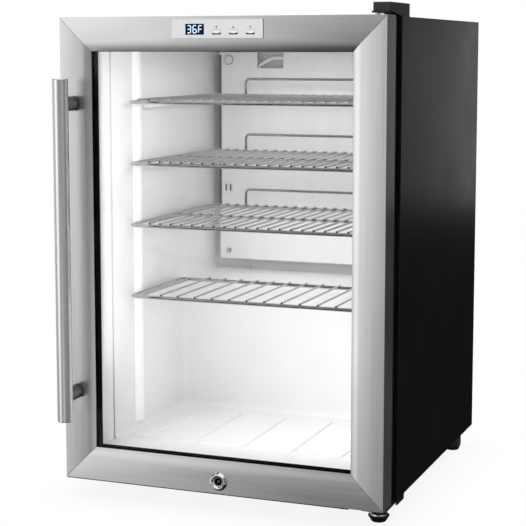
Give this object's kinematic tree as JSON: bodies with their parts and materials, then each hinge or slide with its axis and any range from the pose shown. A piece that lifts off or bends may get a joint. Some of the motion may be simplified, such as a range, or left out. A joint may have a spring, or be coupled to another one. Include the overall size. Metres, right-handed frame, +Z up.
{
  "type": "undercounter refrigerator",
  "caption": "Compact undercounter refrigerator with a glass door in a mitred stainless frame, bar handle, lock, digital control and chrome wire shelves in a white cavity.",
  "frame": {"origin": "on the floor, under the middle of the whole envelope, handle included", "axes": "+X to the right seen from the front, +Y to the back (the door faces -Y), +Z up"},
  "size_m": [0.432, 0.513, 0.639],
  "materials": {
    "black_paint": "satin",
    "galvanised": "satin",
    "foam": "matte",
    "liner_white": "satin",
    "pin_steel": "satin",
    "black_plastic": "satin",
    "foot_black": "satin",
    "evaporator_white": "satin",
    "nylon": "satin",
    "rubber_black": "matte",
    "copper": "satin",
    "lamp_lens": "satin",
    "lamp_board": "matte",
    "stainless": "satin",
    "dark_steel": "satin",
    "clear_glass": "polished",
    "control_silver": "satin",
    "display": "gloss",
    "circuit_board": "satin",
    "lock_chrome": "polished",
    "shelf_chrome": "polished"
  },
  "bodies": {
    "cabinet": {"side_panel_left": "black_paint", "side_panel_right": "black_paint", "top_panel": "black_paint", "back_panel": "galvanised", "base_pan": "galvanised", "insulation_foam": "foam", "liner": "liner_white", "upper_hinge_plate": "black_paint", "lower_hinge_bracket": "black_paint", "hinge_pins": "pin_steel", "hinge_cover": "black_plastic", "lock_strike": "galvanised", "rear_feet": "black_plastic", "cord_gland": "black_plastic", "cabinet_screws": "pin_steel", "evaporator_plate": "evaporator_white", "evaporator_spacers": "nylon", "evaporator_tube": "evaporator_white", "sensor_clip": "nylon", "compressor": "black_paint", "compressor_grommets": "rubber_black", "terminal_cover": "black_plastic", "drain_pan": "black_plastic", "drain_tube": "nylon", "condenser": "black_paint", "filter_drier": "copper", "refrigerant_lines": "copper", "lamp_lens": "lamp_lens", "lamp_strip": "lamp_board"},
    "door": {"door_rail_top": "stainless", "door_rail_bottom": "stainless", "door_stile_left": "stainless", "door_stile_right": "stainless", "door_core": "black_plastic", "door_inner_trim": "liner_white", "glass_front": "clear_glass", "glass_rear": "clear_glass", "glass_spacer": "black_plastic", "door_gasket": "rubber_black", "handle_bar": "stainless", "handle_posts": "dark_steel", "control_bezel": "control_silver", "display_window": "display", "control_board": "circuit_board", "hinge_bushes": "nylon", "lock_body": "lock_chrome"},
    "lock_key_side": {"lock_plug": "lock_chrome", "lock_cam": "pin_steel"},
    "button_1": {"button_1": "control_silver"},
    "button_2": {"button_2": "control_silver"},
    "button_3": {"button_3": "control_silver"},
    "shelf_1": {"shelf_1_deck": "shelf_chrome", "shelf_1_guard": "shelf_chrome"},
    "shelf_2": {"shelf_2_deck": "shelf_chrome", "shelf_2_guard": "shelf_chrome"},
    "shelf_3": {"shelf_3_deck": "shelf_chrome", "shelf_3_guard": "shelf_chrome"},
    "shelf_4": {"shelf_4_deck": "shelf_chrome"},
    "foot_left": {"front_foot_left": "foot_black"},
    "foot_right": {"front_foot_right": "foot_black"}
  },
  "joints": [
    {"name": "door_hinge", "type": "hinge", "parent": "cabinet", "child": "door", "pos_m": [0.197, -0.1865, 0.3], "axis": [0, 0, 1], "range_deg": [0, 120]},
    {"name": "lock_turn", "type": "hinge", "parent": "door", "child": "lock_key_side", "pos_m": [0.0005, -0.2105, 0.043], "axis": [0, -1, 0], "range_deg": [0, 90]},
    {"name": "button_1_press", "type": "slide", "parent": "door", "child": "button_1", "axis": [0, 1, 0], "range_m": [0, 0.0008], "stiffness_N_per_m": 400},
    {"name": "button_2_press", "type": "slide", "parent": "door", "child": "button_2", "axis": [0, 1, 0], "range_m": [0, 0.0008], "stiffness_N_per_m": 400},
    {"name": "button_3_press", "type": "slide", "parent": "door", "child": "button_3", "axis": [0, 1, 0], "range_m": [0, 0.0008], "stiffness_N_per_m": 400},
    {"name": "shelf_1_slide", "type": "slide", "parent": "cabinet", "child": "shelf_1", "axis": [0, -1, 0], "range_m": [0, 0.06]},
    {"name": "shelf_2_slide", "type": "slide", "parent": "cabinet", "child": "shelf_2", "axis": [0, -1, 0], "range_m": [0, 0.06]},
    {"name": "shelf_3_slide", "type": "slide", "parent": "cabinet", "child": "shelf_3", "axis": [0, -1, 0], "range_m": [0, 0.06]},
    {"name": "shelf_4_slide", "type": "slide", "parent": "cabinet", "child": "shelf_4", "axis": [0, -1, 0], "range_m": [0, 0.06]},
    {"name": "foot_left_adjust", "type": "slide", "parent": "cabinet", "child": "foot_left", "axis": [0, 0, -1], "range_m": [0, 0.006]},
    {"name": "foot_right_adjust", "type": "slide", "parent": "cabinet", "child": "foot_right", "axis": [0, 0, -1], "range_m": [0, 0.006]}
  ]
}
